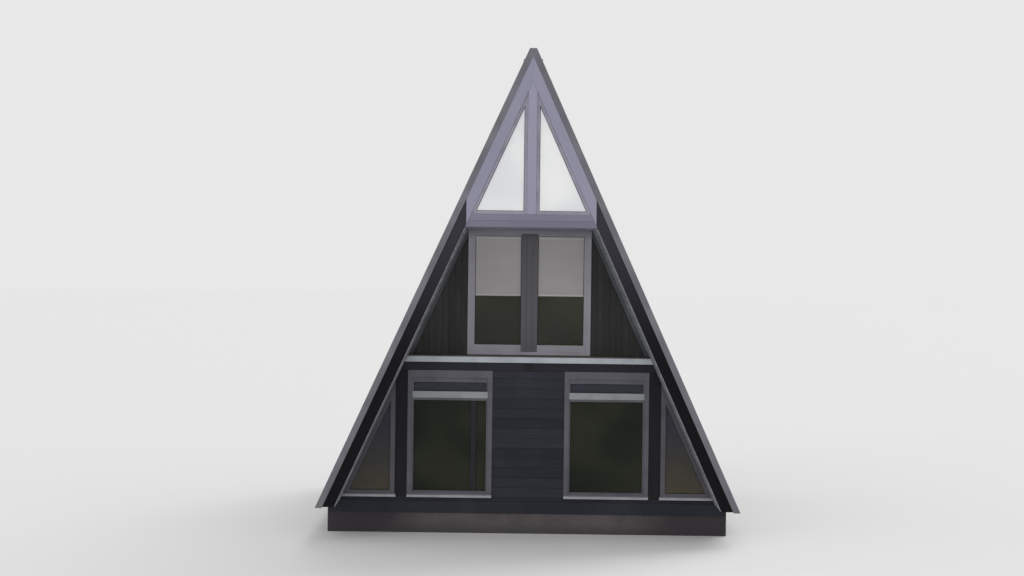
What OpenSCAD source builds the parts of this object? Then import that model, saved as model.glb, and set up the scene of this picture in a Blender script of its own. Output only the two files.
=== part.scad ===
// A tall a-frame cabin of timber: steep sandwich roof slabs on a low plinth, a set-back glazed
// front, an inset balcony above it and a loft gable that stands flush with the roof's verge.
// Millimetres. X is to the right, the front faces -Y, Z is up from the ground.

/* [Overall] */
// Height at which the two outer roof faces would meet
roof_height = 8820; // [8400:10:10800]
// Width across the roof's feet
base_width = 7460; // [7100:10:8900]
// Length of the roof from verge to verge
cabin_length = 9000; // [7600:50:12000]
// Height of the plinth, where the roof's feet are cut level
eave_height = 580; // [450:10:720]
// How far the ridge is cut down from the meeting height
ridge_cut = 120; // [90:5:200]

/* [Roof] */
// Full thickness of the roof, square to its slope
roof_t = 290; // [240:5:350]
// Depth of the metal covering with its seams
covering_t = 40; // [30:1:50]
// Thickness of the covering's flat pan
pan_t = 12; // [6:1:16]
// Width of one standing seam
seam_w = 14; // [8:1:30]
// Widest spacing of the standing seams
seam_pitch = 560; // [400:10:800]
// How far the covering drips below the roof's feet
drip = 18; // [0:1:25]
// Sheet thickness of the ridge cap and of the verge trim's flange
cap_t = 6; // [4:1:10]
// Drop of the ridge cap below the roof's meeting height
cap_reach = 330; // [250:10:500]
// Width of the folded hem along the ridge cap
hem_w = 16; // [10:1:24]
// Depth of the verge trim, square to the slope
trim_w = 104; // [90:1:180]
// Thickness of the verge trim
trim_t = 50; // [40:1:60]
// Width of the trim's flange over the covering
flange_w = 130; // [80:5:200]
// Thickness of the inner verge board
board_t = 35; // [20:1:38]

/* [Storeys] */
// Depth of the covered porch, from the verge to the ground-floor wall
porch_depth = 1200; // [600:10:1800]
// Depth of the balcony, from the ground-floor wall to the wall above
balcony_depth = 750; // [500:10:1200]
// Overhang of the roof past the back wall
back_overhang = 600; // [560:10:900]
// Thickness of the ground floor
ground_floor_t = 200; // [120:5:300]
// Clear height of the ground floor
ground_storey = 2372; // [2200:2:2500]
// Thickness of the upper floor
upper_floor_t = 245; // [180:5:300]
// Clear height of the upper floor
upper_storey = 2343; // [2100:1:2450]
// Thickness of the loft floor and of the beam at its front
loft_floor_t = 235; // [180:5:300]

/* [Walls] */
// Thickness of the timber walls
wall_t = 180; // [150:5:250]
// Room left outside the walls for the boarding
boarding_t = 20; // [15:1:30]
// Thickness of the front and back plinth walls
plinth_t = 300; // [200:5:320]
// How far the side plinths stand in from the roof's outer edge
plinth_in = 110; // [40:1:140]
// How far they reach in past the roof's feet, to carry the walls
plinth_bearing = 30; // [20:1:80]

/* [Front windows] */
// Height of the front windows' sills above the floor
sill_up = 120; // [80:5:400]
// Depth of the wall over the front windows
head_down = 92; // [80:2:200]
// Width of each large front window
front_window_w = 1445; // [1100:5:1600]
// Width of the post between a large window and its corner window
post_w = 268; // [150:1:320]
// Depth from the ceiling to the point of a corner window
corner_down = 166; // [120:2:400]
// Width of a corner window's frame
corner_frame_w = 85; // [60:1:100]
// Depth of the deep rail at the head of a large window
head_rail = 125; // [60:1:150]
// Height of the transom light
transom_h = 164; // [120:2:400]
// Depth of the transom rail
transom_rail = 163; // [80:1:200]
// Width of the narrow side light in the left window
side_light_w = 190; // [120:2:300]
// Width of the stile beside it
side_stile_w = 82; // [60:1:100]

/* [Joinery] */
// Visible width of a window frame
frame_w = 63; // [50:1:90]
// Depth of a window frame
frame_d = 110; // [95:1:140]
// Outer part of the frame in front of the glass
stop_d = 30; // [20:1:40]
// How far the glass goes into its frame
rebate = 12; // [6:1:20]
// Thickness of a double pane
glass_t = 24; // [18:1:36]
// Clearance between a piece and its seat
seat = 0.2; // [0.1:0.1:0.5]
// Overlap of a casing board on the wall
casing_lap = 46; // [30:1:60]
// Width of a casing board
casing_w = 80; // [70:1:100]
// How far a casing stands out from the wall
casing_t = 40; // [30:1:50]
// How far a sill stands out from the wall
sill_out = 75; // [60:1:90]
// Fall of a sill from the casing to its nose
sill_fall = 12; // [6:1:20]

/* [Balcony] */
// Height of the light edge of the balcony
ledge_h = 92; // [60:1:100]
// Thickness of the ledge and of the rim board behind it
ledge_t = 28; // [20:1:40]
// Thickness of the ledge's leg over the deck
ledge_leg_t = 8; // [4:1:12]
// Gap from the balcony doors' opening to the roof slope, at the ceiling
door_clear = 74; // [50:1:150]
// Height of the balcony doors' sill above the balcony
door_sill = 43; // [30:1:80]
// Depth of the wall over the balcony doors
door_head_down = 60; // [50:1:150]
// Width of a balcony door's stile
door_stile = 83; // [60:1:110]
// Width of the double stile where the balcony doors meet
meeting_w = 306; // [160:2:340]
// Width of the cover strip over the meeting stiles
cover_w = 96; // [60:2:140]
// Height of a balcony door's bottom rail
bottom_rail = 160; // [100:5:300]
// How far the roller blinds are let down
blind_drop = 1111; // [300:1:1900]
// Thickness of a roller blind
blind_t = 6; // [3:1:8]
// Height of the bar at the blind's foot
bar_h = 36; // [20:1:60]
// Side of the blind's cassette
cassette = 60; // [50:1:70]
// Width of the sloping trim under the roof, on the balcony's wall
slope_trim_w = 62; // [40:1:90]

/* [Loft gable] */
// Half width of the post between the loft panes
loft_post = 79; // [60:1:120]
// How far the gable boarding stops short of the beam's ends
gable_in = 22; // [10:1:80]
// Thickness of the loft's front wall behind its boarding
loft_wall_t = 120; // [110:5:160]
// Width of the loft windows' frames
loft_frame_w = 53; // [40:1:70]

/* [Back] */
// Width of the entrance door's opening
door_w = 1000; // [900:10:1200]
// Height of the entrance door's opening
door_h = 2120; // [2050:10:2200]
// Width of a back window
back_window_w = 900; // [600:10:1000]
// Height of a back window
back_window_h = 1150; // [800:10:1200]
// Distance of the ground-floor back windows from the middle
back_window_x = 1450; // [1350:10:1500]
// Sill of the ground-floor back windows above the floor
back_window_sill = 950; // [850:10:1100]
// Half width of the pair of windows above
back_pair_half = 780; // [600:10:900]
// Sill of that pair above the upper floor
back_pair_up = 1000; // [900:10:1100]
// Width of the wall left round the back loft windows
loft_margin = 90; // [60:5:150]
// Depth of one entrance step
tread = 280; // [250:5:290]
// Width of the entrance steps
steps_w = 1300; // [1200:10:1600]
// Visible width of the entrance door's frame
door_frame_w = 60; // [50:1:80]
// Thickness of the entrance door's leaf
leaf_t = 54; // [40:1:64]
// Height of the door lever above the floor
lever_up = 1050; // [950:10:1150]

/* [Hidden] */

// Half width that the roof loses for each millimetre of height, and the cosine of that lean
lean = base_width / 2 / (roof_height - eave_height);
lean_cos = 1 / sqrt(1 + lean * lean);

front_y = -cabin_length / 2;
back_y = cabin_length / 2;
lower_face = front_y + porch_depth + boarding_t;
upper_face = lower_face + balcony_depth;
back_face = back_y - back_overhang - boarding_t;
back_inside = back_face - wall_t;
board_y = front_y + trim_t - board_t;
gable_back = front_y + trim_t + loft_wall_t;

upper_floor_under = eave_height + ground_storey;
upper_floor_top = upper_floor_under + upper_floor_t;
loft_floor_under = upper_floor_top + upper_storey;
loft_floor_top = loft_floor_under + loft_floor_t;
ridge_height = roof_height - ridge_cut;
ridge_clip = ridge_height - cap_t;

plinth_half = base_width / 2 - plinth_in;
plinth_inner = half_at(eave_height, roof_t) - plinth_bearing;
sheet_off = covering_t - pan_t;
cap_low = roof_height - cap_reach;

sill_z = eave_height + sill_up;
head_z = upper_floor_under - head_down;
corner_x = half_at(upper_floor_under - corner_down, roof_t);
window_x1 = corner_x - post_w;
window_x0 = window_x1 - front_window_w;
transom_low = head_z - head_rail - transom_h;
rail_low = transom_low - transom_rail;
pocket_d = glass_t + 2 * seat;

door_half = half_at(loft_floor_under, roof_t) - door_clear;
door_head = loft_floor_under - door_head_down;
door_foot = upper_floor_top + door_sill;
light_x1 = door_half - door_stile;
light_top = door_head - frame_w;
gable_half = half_at(loft_floor_under, roof_t) - gable_in;

storey_split = upper_floor_under + upper_floor_t / 2;
loft_split = loft_floor_under + loft_floor_t / 2;
back_sill_z = eave_height + back_window_sill;
back_pair_sill = upper_floor_top + back_pair_up;
back_pair_head = back_pair_sill + back_window_h;
back_loft_sill = loft_floor_top + loft_margin;
door_top = eave_height + door_h;
threshold = 20;
leaf_gap = 4;
groove = 8;
lever_r = 9;
stem_r = 13;

// Half width of the plane that lies off inside the roof's outer face, at height z
function half_at(z, off) = (roof_height - z) * lean - off / lean_cos;

// Height of that plane at a distance x from the middle
function z_at(x, off) = roof_height - (x + off / lean_cos) / lean;

// Right-angled triangle under the right slope, drawn in by a margin on each side
function raked(x0, z0, off, side = 0, foot = 0, slope = 0) =
    let (xa = x0 + side, za = z0 + foot, o = off + slope)
    [[xa, za], [half_at(za, o), za], [xa, z_at(xa, o)]];

// Shapes that many pieces share

// Extrudes an upright outline from y0 back to y1
module upright(y0, y1) {
    translate([0, y1, 0]) rotate([90, 0, 0]) linear_extrude(y1 - y0) children();
}

module both() {
    children();
    mirror([1, 0, 0]) children();
}

// Rectangle between two corners
module rect(x0, z0, x1, z1) {
    translate([x0, z0]) square([x1 - x0, z1 - z0]);
}

// Everything between the two roof slopes, at a given depth inside them
module between_slopes(z0, z1, off) {
    foot = half_at(z0, off);
    top = half_at(z1, off);
    if (top > 0) polygon([[-foot, z0], [foot, z0], [top, z1], [-top, z1]]);
    else polygon([[-foot, z0], [foot, z0], [0, z_at(0, off)]]);
}

// One slope's band between two depths, from a level foot to the clipped ridge
module slope_band(off0, off1, foot) {
    intersection() {
        polygon([
            [half_at(foot, off0), foot], [0, z_at(0, off0)],
            [0, z_at(0, off1)], [half_at(foot, off1), foot],
        ]);
        rect(0, foot, base_width, ridge_clip);
    }
}

// Roof

module roof_slab() {
    color("#2c2e35") upright(front_y + trim_t, back_y - trim_t)
        slope_band(covering_t + seat, roof_t, eave_height);
}

module roof_covering() {
    run = cabin_length - 2 * trim_t - seam_w;
    seams = ceil(run / seam_pitch);
    color("#6f717a") {
        upright(front_y + trim_t, back_y - trim_t) slope_band(sheet_off, covering_t, eave_height - drip);
        for (i = [0 : seams]) {
            y = front_y + trim_t + i * run / seams;
            upright(y, y + seam_w) slope_band(0, sheet_off, eave_height - drip);
        }
    }
}

// A folded sheet over the seams, with a hem turned out along each lower edge
module ridge_cap_piece() {
    hem_off = -3 * cap_t;
    hem_top = cap_low + hem_w;
    side = [
        [half_at(ridge_height, -cap_t), ridge_height], [half_at(hem_top, -cap_t), hem_top],
        [half_at(hem_top, hem_off), hem_top], [half_at(cap_low, hem_off), cap_low],
        [half_at(cap_low, 0), cap_low], [half_at(ridge_clip, 0), ridge_clip],
    ];
    color("#7c7d88") upright(front_y, back_y)
        polygon(concat(side, [for (i = [len(side) - 1 : -1 : 0]) [-side[i].x, side[i].y]]));
}

// Sheet over the seams, from the roof's foot up to the ridge cap
module verge_sheet(y0, y1, under) {
    upright(y0, y1) intersection() {
        slope_band(-cap_t, under, eave_height - drip);
        rect(0, 0, base_width, cap_low - seat);
    }
}

// A board on the verge, capped with a sheet whose flange laps the covering
module front_trim() {
    color("#85858f") {
        upright(front_y, front_y + trim_t) slope_band(0, trim_w, eave_height - drip);
        verge_sheet(front_y, front_y + trim_t, seat);
        verge_sheet(front_y, front_y + flange_w, -seat);
    }
}

module back_trim() {
    mirror([0, 1, 0]) front_trim();
}

// The front board stops at the upright joint where the grey gable begins
module front_verge_board() {
    color("#1d1e24") upright(board_y, front_y + trim_t) intersection() {
        slope_band(trim_w + seat, roof_t, eave_height);
        rect(gable_half + seat, 0, base_width, roof_height);
    }
}

module back_verge_board() {
    color("#1d1e24") upright(back_y - trim_t, -board_y) slope_band(trim_w + seat, roof_t, eave_height);
}

// Plinth and floors

module side_plinth() {
    color("#57504e") translate([plinth_inner, lower_face, 0])
        cube([plinth_half - plinth_inner, back_face - lower_face, eave_height - seat]);
}

module cross_plinth(y) {
    color("#57504e") translate([-plinth_inner + seat, y, 0])
        cube([2 * (plinth_inner - seat), plinth_t, eave_height - seat]);
}

module ground_deck() {
    y0 = lower_face + plinth_t + seat;
    y1 = back_face - plinth_t - seat;
    color("#b49a78") translate([-plinth_inner + seat, y0, eave_height - ground_floor_t])
        cube([2 * (plinth_inner - seat), y1 - y0, ground_floor_t]);
}

module deck(y0, z0, z1) {
    color("#b49a78") upright(y0, back_inside - seat) between_slopes(z0, z1 - seat, roof_t + seat);
}

module rim() {
    color("#24262c") upright(lower_face - ledge_t, lower_face - seat)
        between_slopes(upper_floor_under, upper_floor_top - seat, roof_t + seat);
}

// An angle of sheet: a light upright face, and a leg that laps the deck behind it
module ledge() {
    top = upper_floor_top + ledge_leg_t;
    mid = lower_face - ledge_t - seat;
    color("#a4a6ad") {
        upright(lower_face - 2 * ledge_t, mid)
            between_slopes(upper_floor_top - ledge_h, top, roof_t + seat);
        upright(mid, lower_face + 100) between_slopes(upper_floor_top, top, roof_t + seat);
    }
}

// Walls

module lower_wall() {
    color("#282b33") difference() {
        upright(lower_face, lower_face + wall_t)
            between_slopes(eave_height, upper_floor_under - seat, roof_t + seat);
        both() upright(lower_face - 1, lower_face + wall_t + 1) {
            rect(window_x0, sill_z, window_x1, head_z);
            polygon(raked(corner_x, sill_z, 0));
        }
    }
}

module upper_wall() {
    color("#2b2e30") difference() {
        upright(upper_face, upper_face + wall_t)
            between_slopes(upper_floor_top, loft_floor_under - seat, roof_t + seat);
        upright(upper_face - 1, upper_face + wall_t + 1)
            rect(-door_half, door_foot, door_half, door_head);
    }
}

// A cover under the roof's soffit, cut upright beside the doors' casing
module slope_trim() {
    foot = upper_floor_top + seat;
    color("#5c5e66") upright(upper_face - casing_t, upper_face - seat) intersection() {
        slope_band(roof_t + seat, roof_t + slope_trim_w, foot);
        rect(door_half + casing_lap + seat, foot, base_width, loft_floor_under - seat);
    }
}

// Boarded apex, sloping boards that run down beside the beam, and the post behind, all one frame
module gable() {
    color("#8d8b9b") {
        upright(board_y, front_y + trim_t) difference() {
            intersection() {
                between_slopes(loft_floor_under, roof_height, trim_w + seat);
                rect(-gable_half, loft_floor_under, gable_half, ridge_clip - seat);
            }
            between_slopes(eave_height, loft_floor_top + seat, roof_t);
            both() polygon(raked(loft_post, eave_height, roof_t));
        }
        upright(front_y + trim_t, gable_back) difference() {
            intersection() {
                between_slopes(loft_floor_under, roof_height, roof_t + seat);
                rect(-gable_half, loft_floor_top + seat, gable_half, z_at(loft_post, roof_t) + frame_w);
            }
            both() polygon(raked(loft_post, eave_height, trim_w));
        }
    }
}

module beam() {
    color("#7b7988") upright(board_y, gable_back)
        between_slopes(loft_floor_under, loft_floor_top, roof_t + seat);
}

module back_wall_part(z0, z1) {
    color("#282b33") upright(back_inside, back_face) between_slopes(z0, z1, roof_t + seat);
}

module back_lower() {
    difference() {
        back_wall_part(eave_height, storey_split - seat);
        upright(back_inside - 1, back_face + 1) {
            rect(-door_w / 2, eave_height - 1, door_w / 2, door_top);
            back_openings(0);
        }
    }
}

module back_upper() {
    difference() {
        back_wall_part(storey_split, loft_split - seat);
        upright(back_inside - 1, back_face + 1) back_pair_opening(0);
    }
}

module back_loft() {
    difference() {
        back_wall_part(loft_split, ridge_clip);
        both() upright(back_inside - 1, back_face + 1) back_loft_opening(0);
    }
}

// Joinery

// A frame in three layers: an outer stop, a pocket for the glass and an inner bead.
// Children: the outline, the lights, and the lights as wide as the glass
module glazed_frame(y) {
    difference() {
        upright(y, y + frame_d) children(0);
        upright(y - 1, y + frame_d + 1) children(1);
        upright(y + stop_d, y + stop_d + pocket_d) children(2);
    }
}

module pane(y) {
    color("#3a4340") upright(y + stop_d + seat, y + stop_d + seat + glass_t) children();
}

// A sill from x0 to x1 whose top falls away in front of the casing
module sill(x0, x1, z) {
    nose = lower_face - sill_out;
    back = lower_face - seat;
    translate([x0, 0, 0]) rotate([90, 0, 90]) linear_extrude(x1 - x0) polygon([
        [nose, z - casing_lap], [nose, z - sill_fall], [lower_face - casing_t, z],
        [back, z], [back, z - casing_lap],
    ]);
}

// Lights of a large front window, let out by a margin
module front_lights(m) {
    x0 = window_x0 + frame_w;
    x1 = window_x1 - frame_w;
    rect(x0 - m, sill_z + frame_w - m, x1 + m, rail_low + m);
    rect(x0 - m, transom_low - m, x1 + m, transom_low + transom_h + m);
}

module front_casing() {
    x0 = window_x0 - casing_lap;
    x1 = window_x1 + casing_lap;
    z0 = sill_z - casing_lap;
    upright(lower_face - casing_t, lower_face - seat) difference() {
        rect(x0, z0, x1, upper_floor_under - seat);
        rect(x0 + casing_w, z0 + casing_w, x1 - casing_w, head_z - casing_t);
    }
    sill(x0, x1, sill_z);
}

module front_window() {
    color("#94949d") union() {
        glazed_frame(lower_face - seat) {
            rect(window_x0 + seat, sill_z + seat, window_x1 - seat, head_z - seat);
            front_lights(0);
            front_lights(rebate);
        }
        front_casing();
    }
}

// The left window has a narrow side light, beside the centre wall
module side_stile() {
    x = -window_x0 - frame_w - side_light_w - side_stile_w;
    color("#94949d") upright(lower_face - seat, lower_face + stop_d - seat)
        rect(x, sill_z + frame_w - seat, x + side_stile_w, rail_low + seat);
}

module corner_light(m) {
    polygon(raked(corner_x, sill_z, roof_t,
        side = corner_frame_w - m, foot = frame_w - m, slope = corner_frame_w - m));
}

module corner_window() {
    x0 = corner_x - casing_lap / 2;
    x1 = half_at(sill_z - casing_lap, roof_t);
    color("#94949d") union() {
        glazed_frame(lower_face - casing_t) {
            polygon(raked(corner_x, sill_z, roof_t, side = seat, foot = seat, slope = seat));
            corner_light(0);
            corner_light(rebate);
        }
        intersection() {
            sill(x0, x1, sill_z + 2 * seat);
            upright(lower_face - 2 * sill_out, lower_face)
                between_slopes(0, loft_floor_under, roof_t + seat);
        }
    }
}

module door_lights(m) {
    both() rect(meeting_w / 2 - m, door_foot + bottom_rail - m, light_x1 + m, light_top + m);
}

// Two glazed doors whose stiles meet under a cover strip, in one frame with a casing
module balcony_pair() {
    x1 = door_half + casing_lap;
    z0 = door_foot + frame_w / 2;
    z1 = door_head - casing_t / 2;
    color("#94949d") {
        difference() {
            glazed_frame(upper_face - seat) {
                rect(-door_half + seat, door_foot + seat, door_half - seat, door_head - seat);
                door_lights(0);
                door_lights(rebate);
            }
            both() upright(upper_face - 1, upper_face + groove)
                rect(cover_w / 2, z0, cover_w / 2 + groove, z1);
        }
        upright(upper_face - casing_t, upper_face - seat) intersection() {
            between_slopes(eave_height, loft_floor_under - seat, roof_t + 2 * seat);
            difference() {
                rect(-x1, upper_floor_top + ledge_leg_t + seat, x1, loft_floor_under);
                rect(-x1 + casing_w, z0, x1 - casing_w, z1);
            }
        }
        upright(upper_face - casing_t / 2, upper_face - seat)
            rect(-cover_w / 2, z0 - 1, cover_w / 2, z1 + 1);
    }
}

module loft_light(m) {
    w = loft_frame_w - m;
    polygon(raked(loft_post, loft_floor_top, roof_t, side = w, foot = w, slope = w));
}

module loft_frame() {
    color("#9a99a6") glazed_frame(front_y + trim_t) {
        polygon(raked(loft_post, loft_floor_top, roof_t, side = seat, foot = seat, slope = 2 * seat));
        loft_light(0);
        loft_light(rebate);
    }
}

// Openings and lights of the back windows, drawn in by a margin
module back_openings(m) {
    for (x = [-back_window_x, back_window_x])
        rect(x - back_window_w / 2 + m, back_sill_z + m,
            x + back_window_w / 2 - m, back_sill_z + back_window_h - m);
}

module back_pair_opening(m) {
    rect(-back_pair_half + m, back_pair_sill + m, back_pair_half - m, back_pair_head - m);
}

module back_pair_lights(m) {
    both() rect(m, back_pair_sill + m, back_pair_half - m, back_pair_head - m);
}

module back_loft_opening(m) {
    polygon(raked(loft_post, back_loft_sill, roof_t, side = m, foot = m, slope = loft_margin + m));
}

// The back joinery is the same frame turned to face the other way
module turned() {
    translate([0, back_face, 0]) rotate([0, 0, 180]) children();
}

module back_frames() {
    color("#94949d") turned() glazed_frame(seat) {
        back_openings(seat);
        back_openings(frame_w);
        back_openings(frame_w - rebate);
    }
}

module back_high_frames() {
    color("#94949d") turned() {
        glazed_frame(seat) {
            back_pair_opening(seat);
            back_pair_lights(frame_w);
            back_pair_lights(frame_w - rebate);
        }
        both() glazed_frame(seat) {
            back_loft_opening(seat);
            back_loft_opening(frame_w);
            back_loft_opening(frame_w - rebate);
        }
    }
}

// A roller blind hangs inside each balcony door's light, behind the glass
module blind() {
    y = upper_face + stop_d + pocket_d;
    cloth_y = y + cassette / 4;
    x0 = meeting_w / 2 + seat;
    x1 = light_x1 - seat;
    top = light_top - seat;
    low = light_top - blind_drop;
    color("#b9b4b4") {
        upright(y, y + cassette - groove) rect(x0, top - cassette, x1, top);
        upright(cloth_y, cloth_y + blind_t) rect(x0, low, x1, top - cassette + 1);
        upright(cloth_y - blind_t, cloth_y + 2 * blind_t) rect(x0, low, x1, low + bar_h);
    }
}

// Entrance at the back

module entrance_surround() {
    half = door_w / 2 - seat;
    inner = half - door_frame_w;
    color("#94949d") upright(back_inside + threshold, back_face + casing_t) difference() {
        rect(-half, eave_height + seat, half, door_top - seat);
        rect(-inner, eave_height + threshold, inner, door_top - door_frame_w);
    }
}

module entrance_leaf() {
    half = door_w / 2 - door_frame_w - leaf_gap;
    y1 = back_face - groove;
    lever = [-half + 70, y1, eave_height + lever_up];
    color("#343842") {
        upright(y1 - leaf_t, y1)
            rect(-half, eave_height + threshold + seat, half, door_top - door_frame_w - leaf_gap);
        translate(lever - [0, 1, 0]) rotate([-90, 0, 0]) cylinder(h = 60, r = stem_r, $fn = 24);
        translate(lever + [0, 40, 0]) rotate([0, 90, 0]) cylinder(h = 120, r = lever_r, $fn = 24);
    }
}

module steps() {
    rise = eave_height / 3;
    color("#6b625c") translate([-steps_w / 2, back_face + seat, 0]) {
        cube([steps_w, tread, 2 * rise]);
        cube([steps_w, 2 * tread, rise]);
    }
}

cross_plinth(lower_face);  // front_plinth
cross_plinth(back_face - plinth_t);  // back_plinth
mirror([1, 0, 0]) side_plinth();  // left_plinth
side_plinth();  // right_plinth
ground_deck();  // ground_floor
deck(lower_face, upper_floor_under, upper_floor_top);  // upper_floor
deck(gable_back + seat, loft_floor_under, loft_floor_top);  // loft_floor
rim();  // rim_board
ledge();  // balcony_ledge
mirror([1, 0, 0]) roof_slab();  // left_roof
roof_slab();  // right_roof
mirror([1, 0, 0]) roof_covering();  // left_roof_covering
roof_covering();  // right_roof_covering
ridge_cap_piece();  // ridge_cap
mirror([1, 0, 0]) front_verge_board();  // front_left_verge_board
front_verge_board();  // front_right_verge_board
mirror([1, 0, 0]) front_trim();  // front_left_verge_trim
front_trim();  // front_right_verge_trim
mirror([1, 0, 0]) back_verge_board();  // back_left_verge_board
back_verge_board();  // back_right_verge_board
mirror([1, 0, 0]) back_trim();  // back_left_verge_trim
back_trim();  // back_right_verge_trim
lower_wall();  // front_lower_wall
upper_wall();  // front_upper_wall
gable();  // front_gable
beam();  // loft_beam
both() slope_trim();  // balcony_slope_trims
back_lower();  // back_lower_wall
back_upper();  // back_upper_wall
back_loft();  // back_gable
union() {  // front_left_window
    mirror([1, 0, 0]) front_window();
    side_stile();
}
front_window();  // front_right_window
mirror([1, 0, 0]) corner_window();  // front_left_corner_window
corner_window();  // front_right_corner_window
balcony_pair();  // balcony_doors
both() loft_frame();  // loft_windows
back_frames();  // back_lower_windows
back_high_frames();  // back_upper_windows
both() {  // front_glass
    pane(lower_face - seat) front_lights(rebate - seat);
    pane(lower_face - casing_t) corner_light(rebate - seat);
}
pane(upper_face - seat) door_lights(rebate - seat);  // balcony_glass
both() pane(front_y + trim_t) loft_light(rebate - seat);  // loft_glass
turned() {  // back_glass
    pane(seat) back_openings(frame_w - rebate + seat);
    pane(seat) back_pair_lights(frame_w - rebate + seat);
    both() pane(seat) back_loft_opening(frame_w - rebate + seat);
}
both() blind();  // roller_blinds
entrance_leaf();  // entrance_door
entrance_surround();  // entrance_frame
steps();  // entrance_steps
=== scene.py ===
import math
import random

import bpy
from mathutils import Matrix, Vector


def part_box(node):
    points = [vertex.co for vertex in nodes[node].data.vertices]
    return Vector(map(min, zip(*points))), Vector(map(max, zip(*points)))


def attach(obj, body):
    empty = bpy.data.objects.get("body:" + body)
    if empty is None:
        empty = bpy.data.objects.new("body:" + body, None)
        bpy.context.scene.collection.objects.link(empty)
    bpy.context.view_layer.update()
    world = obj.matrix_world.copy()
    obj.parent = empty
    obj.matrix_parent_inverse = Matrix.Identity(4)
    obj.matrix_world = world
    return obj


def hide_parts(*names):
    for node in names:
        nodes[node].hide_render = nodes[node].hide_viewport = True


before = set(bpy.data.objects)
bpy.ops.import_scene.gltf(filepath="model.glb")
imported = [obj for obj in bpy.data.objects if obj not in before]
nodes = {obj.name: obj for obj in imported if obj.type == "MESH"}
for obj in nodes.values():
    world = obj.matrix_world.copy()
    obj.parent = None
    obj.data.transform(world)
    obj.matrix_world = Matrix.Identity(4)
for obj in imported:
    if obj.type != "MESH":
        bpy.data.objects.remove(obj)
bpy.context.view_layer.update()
random.seed(11)
print("frame loaded,", len(nodes), "nodes")

# Camera: at the photograph's distance and height, with the photograph's slight tilt to one side
camera = {"side": -0.33, "back": -40.5, "height": 4.88, "lens": 72, "shiftDown": 0.0225, "roll": -0.75}

cameraData = bpy.data.cameras.new("camera")
cameraData.lens = camera["lens"]
cameraData.shift_y = -camera["shiftDown"]
cameraData.clip_end = 500
cameraObject = bpy.data.objects.new("camera", cameraData)
cameraObject.location = (camera["side"], camera["back"], camera["height"])
cameraObject.rotation_euler = (math.radians(90), math.radians(camera["roll"]), 0)
bpy.context.collection.objects.link(cameraObject)
bpy.context.scene.camera = cameraObject
bpy.context.scene.view_settings.view_transform = "Standard"

# Planes of the walls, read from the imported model
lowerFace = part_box("front_lower_wall")[0].y
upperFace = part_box("front_upper_wall")[0].y
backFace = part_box("back_lower_wall")[1].y
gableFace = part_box("front_gable")[0].y
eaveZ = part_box("right_roof")[0].z
upperLow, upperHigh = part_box("upper_floor")
loftLow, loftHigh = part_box("loft_floor")
beamLow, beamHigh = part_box("loft_beam")

# Lean of the roof: half a metre of width or so is lost for each metre of height
lean = (upperHigh.x - loftHigh.x) / (loftLow.z - upperLow.z)
leanCos = 1 / math.sqrt(1 + lean * lean)
seat = 0.0003  # hairline between a new piece and what carries it
near = 1e-4  # corners this close to a plane or line count as on it


def underRoof(z, inset=0.0):  # half width under the roof at height z
    return upperHigh.x - (z - upperLow.z) * lean - inset / leanCos


def slopeCuts(inset=0.0):  # the two planes that trim a piece to the roof's underside
    return [
        (Vector((side * underRoof(0, inset), 0, 0)), Vector((side * leanCos, 0, lean * leanCos)))
        for side in (1, -1)
    ]


innerApex = underRoof(0) / lean  # height at which the two undersides would meet


# Mesh helpers


def only(*items):
    bpy.ops.object.select_all(action="DESELECT")
    for item in items:
        item.select_set(True)
    bpy.context.view_layer.objects.active = items[0]


def pick(piece, kind, test):  # enters edit mode with the edges or polygons whose corners pass the test
    mesh = piece.data
    only(piece)
    for group in (mesh.vertices, mesh.edges, mesh.polygons):
        group.foreach_set("select", [False] * len(group))
    for item in getattr(mesh, kind):
        item.select = test([mesh.vertices[i].co for i in item.vertices])
    bpy.context.tool_settings.mesh_select_mode = (False, kind == "edges", kind == "polygons")
    bpy.ops.object.mode_set(mode="EDIT")


def leaveEdit():
    bpy.ops.object.mode_set(mode="OBJECT")


def applyPlace(piece):
    only(piece)
    bpy.ops.object.transform_apply(location=True, rotation=True, scale=True)


def join(pieces, name):
    only(*pieces)
    if len(pieces) > 1:
        bpy.ops.object.join()
    pieces[0].name = name
    applyPlace(pieces[0])
    return pieces[0]


def applyModifier(piece, kind, **settings):
    only(piece)
    modifier = piece.modifiers.new(kind.lower(), kind)
    for key, value in settings.items():
        setattr(modifier, key, value)
    bpy.ops.object.modifier_apply(modifier=modifier.name)


def ease(piece, edge, segments=2):
    applyModifier(piece, "BEVEL", width=edge, segments=segments, limit_method="ANGLE")


def thicken(piece, thick, edge):  # gives a sheet its thickness outwards and eases its edges
    applyModifier(piece, "SOLIDIFY", thickness=thick, offset=1)
    ease(piece, edge)
    return piece


def trim(piece, planes):  # cuts away what lies outside the planes and closes the cuts
    only(piece)
    bpy.ops.object.mode_set(mode="EDIT")
    for point, normal in planes:
        bpy.ops.mesh.select_all(action="SELECT")
        bpy.ops.mesh.bisect(plane_co=point, plane_no=normal, use_fill=True, clear_outer=True)
    bpy.ops.mesh.select_all(action="SELECT")
    bpy.ops.mesh.normals_make_consistent(inside=False)
    leaveEdit()


def makeBox(name, low, high, edge=0.0, segments=2):  # a block between two corners with eased edges
    size = [b - a for a, b in zip(low, high)]
    middle = [(a + b) / 2 for a, b in zip(low, high)]
    bpy.ops.mesh.primitive_cube_add(size=1, location=middle)
    block = bpy.context.active_object
    block.name = name
    block.scale = size
    applyPlace(block)
    if edge:
        pick(block, "edges", lambda ends: True)
        bpy.ops.mesh.bevel(offset=edge, segments=segments)
        leaveEdit()
    return block


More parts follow.
